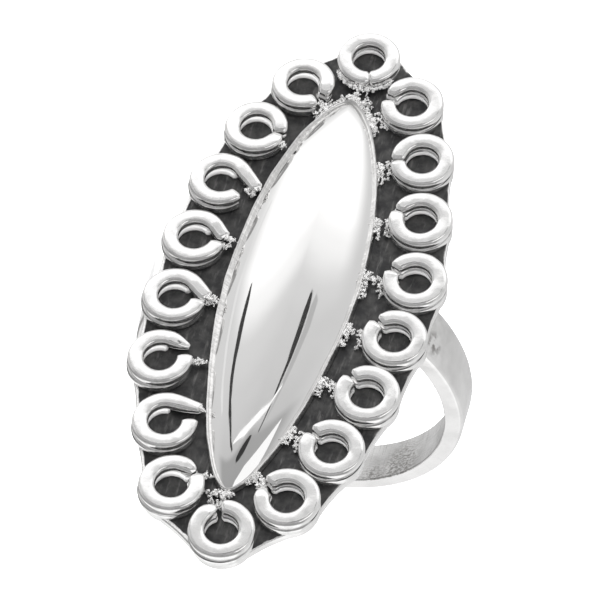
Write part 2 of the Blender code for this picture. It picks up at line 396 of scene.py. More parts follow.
def inset(outline, depth):
    """The outline moved inwards, each point square to its neighbours."""
    moved = []
    for index, point in enumerate(outline):
        run = (outline[(index + 1) % len(outline)] - outline[index - 1]).normalized()
        moved.append(point + depth * Vector((run.y, -run.x)))
    return moved


def plate_edge():
    """The back, drawn over emery paper, which leaves long fine lines, and the polished edge."""
    finish = Finish("plate_edge", 0.16)
    clouds = finish.grain(2.6, detail=2)
    lines = finish.grain(0.12, stretch=(1, 28, 1), turn=(0, 0, math.radians(4)), detail=3, roughness=0.6)
    colour = finish.blend(finish.between(clouds, 0.4, 0.75), BRIGHT, WORN)
    colour = finish.blend(finish.between(lines, 0.5, 0.8, 0.0, 0.55), colour, WORN)
    finish.use("Base Color", colour)
    finish.use("Roughness", finish.between(lines, 0.3, 0.7, 0.14, 0.3))
    finish.relief((clouds, 0.006), (lines, 0.0015))
    return finish.material


def dark_recess():
    """Silver blackened with sulphur: soft dark grey, with paler rubbed streaks and specks."""
    finish = Finish("dark_recess", 0.42)
    finish.use("Metallic", 0.75)
    clouds = finish.grain(0.8, detail=5, roughness=0.6)
    streaks = finish.grain(0.34, stretch=(1, 5, 1), turn=(0, 0, math.radians(12)), detail=4, roughness=0.65)
    specks = finish.grain(0.09, detail=2, roughness=0.7)
    colour = finish.blend(finish.between(clouds, 0.35, 0.7), BLACKENED, FADED)
    rubbed = finish.times(finish.between(streaks, 0.52, 0.74), 0.5)
    colour = finish.blend(rubbed, colour, RUBBED)
    bare = finish.times(finish.between(specks, 0.66, 0.78), 0.35)
    colour = finish.blend(bare, colour, BARE)
    near_edge = finish.add("ShaderNodeAttribute", attribute_name="near_edge").outputs["Fac"]
    wheel = finish.between(finish.plus(near_edge, finish.times(clouds, 0.8)), 0.75, 1.05)
    finish.use("Base Color", finish.blend(wheel, colour, BRIGHT))
    roughness = finish.minus(finish.between(streaks, 0.3, 0.75, 0.5, 0.3), finish.times(wheel, 0.15))
    finish.use("Roughness", roughness)
    finish.relief((clouds, 0.02), (streaks, 0.006), (specks, 0.004))
    return finish.material


sheet = bmesh.new()
near_edge = sheet.verts.layers.float.new("near_edge")
outline = plate_outline()
levels = []
for step in range(BEVEL_STEPS + 1):
    angle = math.radians(90 * step / BEVEL_STEPS)
    levels.append((PLATE_BEVEL * (1 - math.sin(angle)), PLATE_BEVEL * (1 - math.cos(angle))))
rings = [[(point.x, point.y, -PLATE_THICKNESS) for point in inset(outline, PLATE_BEVEL + RIM)]]
for depth, rise in levels:
    rings.append([(point.x, point.y, rise - PLATE_THICKNESS) for point in inset(outline, depth)])
for depth, rise in reversed(levels):
    rings.append([(point.x, point.y, -rise) for point in inset(outline, depth)])
rings.append([(point.x, point.y, 0) for point in inset(outline, PLATE_BEVEL + RIM)])
rows = skin(sheet, rings, closed=False)
for row in rows[:-1]:
    for vertex in row:
        vertex[near_edge] = 1.0 if vertex.co.x < 0 else EAST_POLISH
for face in sheet.faces:
    on_top = all(vertex.co.z > -PLATE_BEVEL / 100 for vertex in face.verts)
    face.material_index = 1 if on_top else 0
bmesh.ops.recalc_face_normals(sheet, faces=sheet.faces)
backplate = new_piece("backplate", sheet, "setting_silver", plate_edge(), dark_recess())
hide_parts("setting")

# The wire loops
# Eighteen rings of thick silver wire, each wound two turns high, sawn open and
# soldered to the plate, the lower turn a little to the south. Some end in an arm.

WIRE_WIDTH = 0.92 * MM
WIRE_HEIGHT = 0.62 * MM
LOOP_RADIUS = 1.38 * MM
TURN_RISE = 0.41 * MM
WIRE_SINK = 0.06 * MM
WIRE_SIDES = 28
WIRE_SQUARENESS = 0.6
WIRE_UNEVENNESS = 0.05 * MM
WIRE_WAVES = 0.9 / MM
WIRE_WAVE_MIDDLE = 0.62
LOOP_STEPS = 60
ARM_STEP = 0.12 * MM
ARM_DROP = 0.16 * MM
END_TAPER = 0.75 * MM
END_ROUND = 0.09 * MM
END_BLUNTNESS = 0.72
TURN_SLIP = 0.11 * MM
SLIP_EAST = math.radians(-90)
SLIP_WEST = math.radians(-120)
WEST_LEAN = math.radians(3.5)
WEST_DROP = 0.05 * MM
# Painted shade: the colour painted in the seam between the turns and low on the wire by the plate
PAINTED_SEAM_SHADE = (0.05, 0.05, 0.05, 1.0)


def loop_polish():
    """Polished wire, with shade painted black in the seam between its turns and low inside, whiter where it
    is unpolished.

    The wire's attribute runs from -1 on its side in the loop's hole to 1 outside.
    """
    finish = Finish("loop_polish", 0.08)
    across = finish.add("ShaderNodeAttribute", attribute_name="across_wire").outputs["Fac"]
    height = finish.part_of_place("Z")
    clouds = finish.grain(0.7, detail=3)
    fine = finish.grain(0.12, detail=3)
    patches = finish.grain(1.3, detail=2)

    # Painted shade in the groove between the two turns, on the wire's sides
    seam_height = (WIRE_HEIGHT / 2 - WIRE_SINK + TURN_RISE / 2) / MM
    away = finish.maths("ABSOLUTE", finish.minus(height, seam_height))
    seam = finish.between(away, 0.012, 0.034, 1.0, 0.0)
    seam = finish.times(seam, finish.between(patches, 0.42, 0.56, 0.25, 1.0))
    seam = finish.times(seam, finish.between(finish.maths("ABSOLUTE", across), 0.5, 0.8))
    # Painted shade low on the wire where it meets the plate, higher on its side in the loop's hole
    foot_height = finish.between(across, -0.6, -0.1, 0.08, -0.05)
    foot = finish.between(finish.minus(height, foot_height), -0.04, 0.04, 0.85, 0.0)
    black = finish.larger(seam, foot)
    colour = finish.blend(finish.between(clouds, 0.45, 0.8), BRIGHT, WORN)
    finish.use("Base Color", finish.blend(black, colour, PAINTED_SEAM_SHADE))

    lower_turn = finish.between(height, seam_height - 0.1, seam_height, 1.0, 0.0)
    unpolished = finish.times(finish.between(across, -0.75, -0.2, 1.0, 0.0), lower_turn)
    finish.use("Metallic", finish.minus(0.98, finish.times(unpolished, 0.8)))
    roughness = finish.plus(finish.between(fine, 0.3, 0.8, 0.05, 0.13), finish.times(black, 0.3))
    finish.use("Roughness", roughness)
    finish.relief((clouds, 0.012), (fine, 0.0012))
    return finish.material


def wire_line(row, spot, level, dice):
    """The middle line of one turn as (point, share of the wire's thickness)."""
    _, _, _, bearing, width, leaves, arm, first_point, last_point = row
    arm *= MM
    top = level == 1
    half_gap = width * MM / 2 / LOOP_RADIUS
    start = math.radians(bearing) + half_gap
    end = math.radians(bearing) - half_gap + 2 * math.pi
    if not top:
        spot = spot + ray(SLIP_EAST if spot.x > 0 else SLIP_WEST) * TURN_SLIP * dice.uniform(0.75, 1.15)
    height = WIRE_HEIGHT / 2 - WIRE_SINK + level * TURN_RISE
    flat = []
    if arm:
        start += (math.radians(leaves) - start) % (2 * math.pi)
    if top and arm:
        edge = spot + LOOP_RADIUS * ray(start)
        steps = round(arm / ARM_STEP)
        for step in range(steps, 0, -1):
            flat.append(edge + ray(start - math.pi / 2) * arm * step / steps)
    for step in range(LOOP_STEPS + 1):
        flat.append(spot + LOOP_RADIUS * ray(start + (end - start) * step / LOOP_STEPS))
    lengths = [0.0]
    for before, after in zip(flat, flat[1:]):
        lengths.append(lengths[-1] + (after - before).length)
    line = []
    for point, run in zip(flat, lengths):
        share = 1.0
        first_end = (run, first_point, arm or END_TAPER)
        last_end = (lengths[-1] - run, last_point, END_TAPER)
        for reach, slim, taper in (first_end, last_end):
            if top and reach < taper:
                share = min(share, slim + (1 - slim) * math.sin(math.pi / 2 * reach / taper))
            if reach < END_ROUND:
                full = math.sqrt(max(0.0, 1 - (1 - reach / END_ROUND) ** 2))
                share *= END_BLUNTNESS + (1 - END_BLUNTNESS) * full
        drop = ARM_DROP * max(0.0, 1 - run / arm) if top and arm else 0.0
        line.append(((point.x, point.y, height - drop), share))
    return line


def line_object(name, lines):
    """Lines as open curves, each point with its share of the full thickness."""
    curve = bpy.data.curves.new(name, "CURVE")
    curve.dimensions = "3D"
    curve.twist_mode = "Z_UP"
    for line in lines:
        spline = curve.splines.new("POLY")
        spline.points.add(len(line) - 1)
        for place, (point, share) in zip(spline.points, line):
            place.co = (*point, 1.0)
            place.radius = share
    item = bpy.data.objects.new(name, curve)
    bpy.context.scene.collection.objects.link(item)
    return item


def node_group(name, sizes):
    """A new Geometry Nodes tree with named number inputs and a material input, and their outlets."""
    tree = bpy.data.node_groups.new(name, "GeometryNodeTree")
    tree.interface.new_socket("Geometry", in_out="INPUT", socket_type="NodeSocketGeometry")
    for label, kind in sizes:
        tree.interface.new_socket(label, in_out="INPUT", socket_type=kind)
    tree.interface.new_socket("Finish", in_out="INPUT", socket_type="NodeSocketMaterial")
    tree.interface.new_socket("Geometry", in_out="OUTPUT", socket_type="NodeSocketGeometry")
    nodes = Nodes(tree)
    return nodes, nodes.add("NodeGroupInput").outputs


def grow(item, tree, values):
    """Run a tree on an object and return the plain mesh that it makes."""
    live = item.modifiers.new(tree.name, "NODES")
    live.node_group = tree
    identifiers = {socket.name: socket.identifier for socket in tree.interface.items_tree}
    for label, value in values.items():
        live[identifiers[label]] = value
    evaluated = item.evaluated_get(bpy.context.evaluated_depsgraph_get())
    mesh = bpy.data.meshes.new_from_object(evaluated)
    item.modifiers.remove(live)
    bpy.data.objects.remove(item, do_unlink=True)
    return mesh


def close_group(nodes, given, mesh, depth):
    """End a tree: push the mesh out by a depth, give it its finish and hand it out."""
    normal = nodes.add("GeometryNodeInputNormal").outputs["Normal"]
    push = nodes.scaled(normal, depth)
    moved = nodes.add("GeometryNodeSetPosition", {"Geometry": mesh, "Offset": push})
    whole = nodes.add("GeometryNodeRealizeInstances", {"Geometry": moved.outputs["Geometry"]})
    look = {"Geometry": whole.outputs["Geometry"], "Material": given["Finish"]}
    painted = nodes.add("GeometryNodeSetMaterial", look)
    nodes.add("NodeGroupOutput", {"Geometry": painted.outputs["Geometry"]})
    return nodes.tree


def wire_tree():
    """Flattened wire drawn along each line, a little uneven as hand-made wire is."""
    sizes = (
        ("Wire Width", "NodeSocketFloat"),
        ("Wire Height", "NodeSocketFloat"),
        ("Unevenness", "NodeSocketFloat"),
        ("Sides", "NodeSocketInt"),
    )
    nodes, given = node_group("wire_along_line", sizes)
    place = nodes.add("GeometryNodeInputPosition").outputs["Position"]
    circle = nodes.add("GeometryNodeCurvePrimitiveCircle", {"Radius": 1.0, "Resolution": given["Sides"]})
    on_circle = nodes.add("ShaderNodeSeparateXYZ", {"Vector": place}).outputs
    squared = {}
    for axis, size in (("X", "Wire Width"), ("Y", "Wire Height")):
        reach = nodes.maths("POWER", nodes.maths("ABSOLUTE", on_circle[axis]), WIRE_SQUARENESS)
        reach = nodes.times(nodes.times(reach, given[size]), 0.5)
        squared[axis] = nodes.times(reach, nodes.maths("SIGN", on_circle[axis]))
    outline = nodes.add("ShaderNodeCombineXYZ", squared)
    marked = nodes.add(
        "GeometryNodeStoreNamedAttribute",
        {"Geometry": circle.outputs["Curve"], "Name": "across_wire", "Value": on_circle["X"]},
    )
    section = nodes.add(
        "GeometryNodeSetPosition",
        {"Geometry": marked.outputs["Geometry"], "Position": outline.outputs["Vector"]},
    )
    share = nodes.add("GeometryNodeInputRadius").outputs["Radius"]
    drawn = {"Curve": given["Geometry"], "Profile Curve": section.outputs["Geometry"], "Scale": share}
    tube = nodes.add("GeometryNodeCurveToMesh", {**drawn, "Fill Caps": True})
    wave = nodes.add("ShaderNodeTexNoise", {"Vector": place, "Scale": WIRE_WAVES})
    depth = nodes.times(nodes.minus(wave.outputs["Fac"], WIRE_WAVE_MIDDLE), given["Unevenness"])
    return close_group(nodes, given, tube.outputs["Mesh"], depth)


dice = random.Random(18)
lines = [wire_line(row, spot, level, dice) for row, spot in zip(LOOP_ROWS, centres) for level in (0, 1)]
loop_mesh = grow(
    line_object("loop_lines", lines),
    wire_tree(),
    {
        "Wire Width": WIRE_WIDTH,
        "Wire Height": WIRE_HEIGHT,
        "Unevenness": WIRE_UNEVENNESS,
        "Sides": WIRE_SIDES,
        "Finish": loop_polish(),
    },
)
# The loops of the west row lean a little to the north, and sit a little deeper
middles = KDTree(len(centres))
for index, spot in enumerate(centres):
    middles.insert((spot.x, spot.y, 0), index)
middles.balance()
lean_north = Matrix.Rotation(-WEST_LEAN, 3, "X")
for vertex in loop_mesh.vertices:
    pivot = middles.find((vertex.co.x, vertex.co.y, 0))[0]
    if pivot.x < 0.0:
        vertex.co = pivot + lean_north @ (vertex.co - pivot) - Vector((0, 0, WEST_DROP))
loops = lay("wire_loops", loop_mesh, "setting_silver")
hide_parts("setting")

# The bezel strip
# A thin strip of silver, bent round the dome's foot, soldered to the plate and
# pressed against the dome by hand, so its top edge waves a little.

DOME_HALF_LENGTH = 13.23 * MM
DOME_HALF_WIDTH = 3.69 * MM
DOME_SHIFT = -0.25 * MM
NORTH_FULLNESS = 2.3
SOUTH_FULLNESS = 1.5
NORTH_ROUNDNESS = 0.66
SOUTH_ROUNDNESS = 0.6
SEAT_GAP = 0.2 * MM
STRIP_HEIGHT = 0.55 * MM
STRIP_STEPS = 260
STRIP_WAVE = 0.07 * MM
STRIP_WAVE_LENGTH = 1.1 * MM
STRIP_SWAY = 0.06
STRIP_SWAY_LENGTH = 1.7 * MM
STRIP_SWAY_PHASE = 0.004
# Painted shade: the colour painted at the strip's foot, by the plate
STRIP_FOOT_SHADE = (0.06, 0.06, 0.06, 1.0)

# The strip's section as (mm out from the dome's foot, share of its height)
STRIP_SECTION = (
    (0.02, -0.12),
    (0.18, -0.12),
    (0.16, 0.40),
    (0.13, 0.72),
    (0.09, 0.90),
    (0.05, 0.97),
    (0.01, 0.93),
    (-0.03, 0.80),
    (-0.06, 0.62),
    (-0.10, 0.46),
)


def half_width_at(along, half_width):
    """Half width of the marquise at a place along it, from -1 (south) to 1."""
    if along > 0:
        return half_width * (1 - along ** NORTH_FULLNESS) ** NORTH_ROUNDNESS
    return half_width * (1 - abs(along) ** SOUTH_FULLNESS) ** SOUTH_ROUNDNESS


def foot_outline(growth, steps):
    """The outline of the dome's foot, grown all round, clockwise from the north tip."""
    east = []
    for step in range(steps + 1):
        along = math.cos(math.pi * step / steps)
        east.append(Vector((half_width_at(along, DOME_HALF_WIDTH), along * DOME_HALF_LENGTH)))
    outline = east + [Vector((-point.x, point.y)) for point in reversed(east[1:-1])]
    grown = []
    for index, point in enumerate(outline):
        run = outline[(index + 1) % len(outline)] - outline[index - 1]
        outward = Vector((-run.y, run.x)).normalized()
        grown.append(point + outward * growth + Vector((DOME_SHIFT, 0)))
    return grown


def strip_polish():
    """Polished, a little dented, with an uneven black line of painted shade at its foot."""
    finish = Finish("strip_polish", 0.14)
    clouds = finish.grain(0.35, detail=4)
    fine = finish.grain(0.08, detail=3)
    height = finish.part_of_place("Z")
    # Painted shade along the strip's foot, with an uneven top
    foot_height = finish.times(clouds, 0.16)
    foot = finish.between(finish.minus(height, foot_height), -0.06, 0.05, 0.9, 0.0)
    colour = finish.blend(finish.between(clouds, 0.5, 0.8), BRIGHT, WORN)
    finish.use("Base Color", finish.blend(foot, colour, STRIP_FOOT_SHADE))
    finish.use("Roughness", finish.between(fine, 0.3, 0.8, 0.1, 0.24))
    finish.relief((clouds, 0.03), (fine, 0.004))
    return finish.material


strip = bmesh.new()
rings = []
for foot, millimetre_out in zip(foot_outline(0.0, STRIP_STEPS), foot_outline(MM, STRIP_STEPS)):
    wave = noise.noise(Vector((foot.x, foot.y, 0)) / STRIP_WAVE_LENGTH) * STRIP_WAVE
    sway = noise.noise(Vector((foot.x, foot.y, STRIP_SWAY_PHASE)) / STRIP_SWAY_LENGTH) * STRIP_SWAY
    ring = []
    for out, share in STRIP_SECTION:
        point = foot.lerp(millimetre_out, out + sway * max(0.0, share))
        ring.append((point.x, point.y, (STRIP_HEIGHT - STRIP_WAVE + wave) * share))
    rings.append(ring)
skin(strip, rings, closed=True)
bmesh.ops.recalc_face_normals(strip, faces=strip.faces)
bezel_strip = new_piece("bezel_strip", strip, "setting_silver", strip_polish())
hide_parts("setting")

# The solder
# Hard silver solder, run between the strip and each loop and round the dome's
# north tip. It froze in bright grains, which the polishing wheel didn't reach.

SOLDER_GRAIN = 0.052 * MM
SOLDER_STEP = 0.01 * MM
SOLDER_SPREAD = 0.38 * MM
SOLDER_CELL = 0.0325 * MM
SOLDER_SPIKES = 0.14 * MM
SOLDER_SPIKE_WIDTH = 0.07 * MM
SOLDER_SEED = 4
SMALLEST_CLUMP = 350
# Painted shade: the colour painted for the crevices between the solder's grains
SOLDER_CREVICE_SHADE = (0.16, 0.155, 0.15, 1.0)
STRIP_FOOT_OUT = 0.24 * MM
LIP_RADIUS = 1.9 * MM
LIP_BEARINGS = range(214, 330, 8)
ROUND_TIP_POINTS = 42
WIRE_EDGE = 0.2 * MM
PATCH_REACH = (0.7 * MM, 1.3 * MM)


def solder_grain():
    """Bright grains, with black painted at random as the shade between them."""
    finish = Finish("solder_grain", 0.25)
    finish.use("Metallic", 0.7)
    clouds = finish.grain(0.22, detail=4)
    fine = finish.grain(0.06, detail=3, roughness=0.7)
    # Painted shade: dark patches at random, for the shade in the crevices between the grains
    dark = finish.between(finish.plus(finish.times(clouds, 0.6), fine), 0.76, 0.64)
    finish.use("Base Color", finish.blend(dark, BRIGHT, SOLDER_CREVICE_SHADE))
    finish.use("Roughness", finish.between(fine, 0.3, 0.8, 0.12, 0.34))
    finish.relief((clouds, 0.03), (fine, 0.012))
    return finish.material


def solder_tree():
    """Grains strewn along each line, melted together and frozen rough."""
    lengths = ("Spacing", "Spread", "Grain Radius", "Cell", "Spikes", "Spike Width")
    sizes = [(name, "NodeSocketFloat") for name in lengths] + [("Seed", "NodeSocketInt")]
    nodes, given = node_group("solder_along_line", sizes)
    points = nodes.add(
        "GeometryNodeCurveToPoints",
        {"Curve": given["Geometry"], "Length": given["Spacing"]},
        mode="LENGTH",
    )
    scatter = nodes.add(
        "FunctionNodeRandomValue",
        {"Min": (-1, -1, -0.35), "Max": (1, 1, 1), "Seed": given["Seed"]},
        data_type="FLOAT_VECTOR",
    )
    share = nodes.add("GeometryNodeInputRadius").outputs["Radius"]
    throw = nodes.scaled(scatter.outputs[0], nodes.times(share, given["Spread"]))
    strewn = nodes.add("GeometryNodeSetPosition", {"Geometry": points.outputs["Points"], "Offset": throw})
    grain = nodes.add("GeometryNodeMeshIcoSphere", {"Subdivisions": 2, "Radius": given["Grain Radius"]})
    size = nodes.add("FunctionNodeRandomValue", {2: 0.5, 3: 1.25, "Seed": given["Seed"]}, data_type="FLOAT")
    pair = {"Points": strewn.outputs["Geometry"], "Instance": grain.outputs["Mesh"]}
    grains = nodes.add("GeometryNodeInstanceOnPoints", {**pair, "Scale": size.outputs[1]})
    whole = nodes.add("GeometryNodeRealizeInstances", {"Geometry": grains.outputs["Instances"]})
    cells = {"Voxel Size": given["Cell"], "Interior Band Width": given["Cell"]}
    melt = nodes.add(
        "GeometryNodeMeshToVolume",
        {"Mesh": whole.outputs["Geometry"], **cells},
        resolution_mode="VOXEL_SIZE",
    )
    freeze = nodes.add("GeometryNodeVolumeToMesh", {"Volume": melt.outputs["Volume"], "Threshold": 0.1})
    place = nodes.add("GeometryNodeInputPosition").outputs["Position"]
    fineness = nodes.maths("DIVIDE", 1.0, given["Spike Width"])
    rough = nodes.add("ShaderNodeTexNoise", {"Vector": place, "Scale": fineness, "Detail": 1.0})
    depth = nodes.times(nodes.minus(rough.outputs["Fac"], 0.45), given["Spikes"])
    return close_group(nodes, given, freeze.outputs["Mesh"], depth)


def solder_line(*stops):
    """Stops of (place, height over the plate in mm, share of the spread)."""
    return [((*place, height * MM), share) for place, height, share in stops]


strip_foot = foot_outline(STRIP_FOOT_OUT, STRIP_STEPS)


def run_from_loop(spot):
    """Solder from a loop to the strip: one run in the west, and a wider patch of three in the east."""
    foot = min(strip_foot, key=lambda point: (point - spot).length)
    toward_foot = (foot - spot).normalized()
    gap = (foot - spot).length - LOOP_RADIUS
    south = Vector((-toward_foot.y, toward_foot.x))
    if south.y > 0:
        south = -south
    begin = spot + toward_foot * (LOOP_RADIUS + WIRE_EDGE)
    middle = begin.lerp(foot, 0.5)
    reach = dice.uniform(*PATCH_REACH)
    if spot.x < 0:
        return [solder_line((begin, 0.5, 0.4), (middle, 0.25, 0.5), (foot, 0.3, 0.6))]
    low = begin + south * reach * 0.8 + toward_foot * min(0.45 * MM, gap / 3)
    return [
        solder_line((begin, 0.5, 0.7), (middle, 0.25, 0.9), (foot, 0.3, 0.6)),
        solder_line((foot - south * 0.3 * MM, 0.3, 0.4), (foot + south * reach, 0.15, 0.6)),
        solder_line((begin, 0.4, 0.7), (low, 0.12, 0.6)),
    ]


# A lip of solder shows along the south side of the north tip's loop, and a line of
# it goes round the strip's north tip
lip = [centres[0] + LIP_RADIUS * ray(math.radians(bearing)) for bearing in LIP_BEARINGS]
round_tip = strip_foot[-ROUND_TIP_POINTS::3] + strip_foot[:ROUND_TIP_POINTS + 1:3]
solder_lines = [
    solder_line(*[(place, 0.34, 0.3) for place in lip]),
    solder_line(*[(place, 0.2, 0.55) for place in round_tip]),
]
# Loop 13's arm stops short of the strip, and loop 12 is soldered by its arm alone
for row, spot in zip(LOOP_ROWS, centres):
    loop, leaves, arm = row[0], math.radians(row[5]), row[6] * MM
    if arm and loop != "13":
        tip = spot + LOOP_RADIUS * ray(leaves) + arm * ray(leaves - math.pi / 2)
        landing = min(strip_foot, key=lambda point: (point - tip).length)
        solder_lines.append(solder_line((tip, 0.65, 0.35), (landing, 0.4, 0.45)))
    if loop != "12":
        solder_lines += run_from_loop(spot)
solder_mesh = grow(
    line_object("solder_lines", solder_lines),
    solder_tree(),
    {
        "Spacing": SOLDER_STEP,
        "Spread": SOLDER_SPREAD,
        "Grain Radius": SOLDER_GRAIN,
        "Cell": SOLDER_CELL,
        "Spikes": SOLDER_SPIKES,
        "Spike Width": SOLDER_SPIKE_WIDTH,
        "Seed": SOLDER_SEED,
        "Finish": solder_grain(),
    },
)
# A clump of a few grains that froze clear of the rest is brushed off
frozen = bmesh.new()
frozen.from_mesh(solder_mesh)
unseen = set(frozen.verts)
brushed_off = []
while unseen:
    clump = [unseen.pop()]
    for vertex in clump:
        beside = [edge.other_vert(vertex) for edge in vertex.link_edges]
        fresh = [other for other in beside if other in unseen]
        unseen.difference_update(fresh)
        clump.extend(fresh)
    if len(clump) < SMALLEST_CLUMP:
        brushed_off.extend(clump)
bmesh.ops.delete(frozen, geom=brushed_off, context="VERTS")
frozen.to_mesh(solder_mesh)
frozen.free()
solder = lay("solder_runs", solder_mesh, "setting_silver")
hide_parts("setting")

# The cat's eye dome
# A sheet of silver pressed to a long, low, puffed marquise, open underneath, and
# polished to a mirror. It stands in the strip on the plate.

DOME_HEIGHT = 1.35 * MM
DOME_WALL = 0.45 * MM
DOME_TIP_WALL = 0.72 * MM
CROWN_FULLNESS = 2.0
CROWN_ROUNDNESS = 0.7
SIDE_ROUNDNESS = 1.9
DOME_STEPS_ALONG = 180
DOME_STEPS_ACROSS = 96
MIRROR_SHADE = (0.90, 0.895, 0.89, 1.0)


def dome_polish():
    """A mirror, with the faintest waves and straight hair scratches."""
    finish = Finish("dome_polish", 0.035)
    clouds = finish.grain(3.5, detail=2)
    fine = finish.grain(0.4, detail=3)
    hairs = finish.grain(0.06, stretch=(1, 40, 1), turn=(0, 0, math.radians(9)), detail=2)
    colour = finish.blend(finish.between(clouds, 0.4, 0.75), BRIGHT, MIRROR_SHADE)
    finish.use("Base Color", colour)
    finish.use("Roughness", finish.between(fine, 0.3, 0.8, 0.02, 0.06))
    finish.relief((clouds, 0.004), (hairs, 0.00006))
    return finish.material


def dome_skin(form, wall, tip_wall, steps_along, steps_across):
    """The dome's surface, set in by a wall; returns the points of its rim."""
    half_length = DOME_HALF_LENGTH - tip_wall
    rows = []
    for step in range(1, steps_along):
        along = -math.cos(math.pi * step / steps_along)
        reach = half_width_at(along, DOME_HALF_WIDTH - wall)
        crown = (DOME_HEIGHT - wall) * (1 - abs(along) ** CROWN_FULLNESS) ** CROWN_ROUNDNESS
        row = []
        for place in range(steps_across + 1):
            angle = math.pi * place / steps_across
            x = DOME_SHIFT + reach * math.cos(angle)
            height = SEAT_GAP + crown * max(0.0, math.sin(angle)) ** SIDE_ROUNDNESS
            row.append(form.verts.new((x, along * half_length, height)))
        rows.append(row)
    tips = [form.verts.new((DOME_SHIFT, sign * half_length, SEAT_GAP)) for sign in (-1, 1)]
    for side in range(steps_across):
        for here, there in zip(rows, rows[1:]):
            form.faces.new((here[side], here[side + 1], there[side + 1], there[side]))
        form.faces.new((tips[0], rows[0][side], rows[0][side + 1]))
        form.faces.new((tips[1], rows[-1][side], rows[-1][side + 1]))
    east = [row[0] for row in rows]
    west = [row[-1] for row in reversed(rows)]
    return [tips[0]] + east + [tips[1]] + west


shell = bmesh.new()
outer_rim = dome_skin(shell, 0.0, 0.0, DOME_STEPS_ALONG, DOME_STEPS_ACROSS)
inner_rim = dome_skin(shell, DOME_WALL, DOME_TIP_WALL, DOME_STEPS_ALONG, DOME_STEPS_ACROSS // 4)
for index in range(len(outer_rim)):
    shell.faces.new((outer_rim[index - 1], outer_rim[index], inner_rim[index], inner_rim[index - 1]))
bmesh.ops.recalc_face_normals(shell, faces=shell.faces)
dome = new_piece("cats_eye", shell, "dome_silver", dome_polish())
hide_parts("cats_eye_dome")

# The table and the light
# The ring lies on a wide pale table in an even white light. Round the camera the
# tent is grey, and thin black flags draw the dark lines along the dome.

VIEW_BEARING = math.radians(-69.457)
VIEW_HEIGHT = math.radians(57.013)
VIEW_ROLL = math.radians(-6.43)
VIEW_DISTANCE = 220 * MM
VIEW_AIM = Vector((0.34, -0.22, -0.21)) * MM
TABLE_HALF = 2.0
FLAG_DISTANCE = 3.0

toward = Vector((
    math.cos(VIEW_HEIGHT) * math.cos(VIEW_BEARING),
    math.cos(VIEW_HEIGHT) * math.sin(VIEW_BEARING),
    math.sin(VIEW_HEIGHT),
))
level_right = Vector((-math.sin(VIEW_BEARING), math.cos(VIEW_BEARING), 0))
picture_right = Matrix.Rotation(VIEW_ROLL, 3, toward) @ level_right
picture_up = toward.cross(picture_right)
turn = laid.to_3x3()
view_axes = [turn @ axis for axis in (picture_right, picture_up, toward)]

corners = [(x * TABLE_HALF, y * TABLE_HALF, 0) for x, y in ((-1, -1), (1, -1), (1, 1), (-1, 1))]
table_mesh = bpy.data.meshes.new("table")
table_mesh.from_pydata(corners, [], [(0, 1, 2, 3)])
paper = bpy.data.materials.new("white_paper")
paper.use_nodes = True
paper_shader = paper.node_tree.nodes["Principled BSDF"]
paper_shader.inputs["Base Color"].default_value = (0.93, 0.93, 0.93, 1.0)
paper_shader.inputs["Roughness"].default_value = 0.9
paper_shader.inputs["Emission Color"].default_value = (1.0, 1.0, 1.0, 1.0)
paper_shader.inputs["Emission Strength"].default_value = 0.5
table_mesh.materials.append(paper)
table = bpy.data.objects.new("table", table_mesh)
bpy.context.scene.collection.objects.link(table)
table.visible_glossy = False

# Flags and cards: a name, a glow, and points of (right, above, width), in degrees
# from the camera's line. The thin dark ones draw the lines that run down the dome.
FLAGS = (
    ("flag_west", 0.055, (
        (-52.6, 71.1, 0.8), (-53.1, 68.8, 3.4), (-54.4, 65.8, 4.6), (-54.8, 63, 4.6), (-55.2, 60.7, 3.6),
        (-53.7, 58.7, 2.5), (-50.1, 55.8, 1.8), (-41.3, 52.4, 1.5), (-34, 48.8, 1.3), (-26, 46.3, 0.8),
    )),
    ("flag_east", 0.055, (
        (23, 56, 0.8), (23.5, 54.6, 3), (24.5, 52.4, 4.2), (25.2, 49.5, 4.4),
        (25.8, 47, 3.4), (24.7, 44.6, 2.4), (23.8, 41.1, 1.6), (21.1, 38.1, 1.2),
    )),
    ("flag_south", 0.045, (
        (-9.5, 41.4, 0.8), (-5.7, 40.8, 4), (0.7, 40.6, 4.8), (7.2, 40.6, 4), (11, 41, 0.8),
    )),
    ("card_shade", 0.5, (
        (28.5, 53, 2), (31, 50.5, 4), (31.6, 47.5, 5), (30.6, 44.2, 4), (28.5, 41, 2.5), (26, 38.5, 1),
    )),
    ("card_west", 0.82, (
        (-62, 84, 1), (-66, 77, 2), (-69, 70, 2.4), (-71, 63, 2.4), (-69, 57, 2), (-64, 54, 1),
    )),
    ("card_arc", 1.15, (
        (-27.3, 48.3, 0.6), (-17.6, 48.3, 1.5), (-4.9, 46.8, 2), (4.3, 45.7, 2),
        (13.4, 44.1, 1.8), (21.6, 42.3, 1.2), (29.7, 42.2, 0.6),
    )),
    ("card_window", 1.05, ((14, 15, 12), (22, 15.5, 25), (33, 15.5, 24), (48, 16, 22))),
)


def seen_at(across, rise):
    """Direction at some degrees to the right and above the camera's line."""
    angle = math.hypot(across, rise)
    right, up, back = view_axes
    slant = math.sin(math.radians(angle)) / angle
    return right * (slant * across) + up * (slant * rise) + back * math.cos(math.radians(angle))


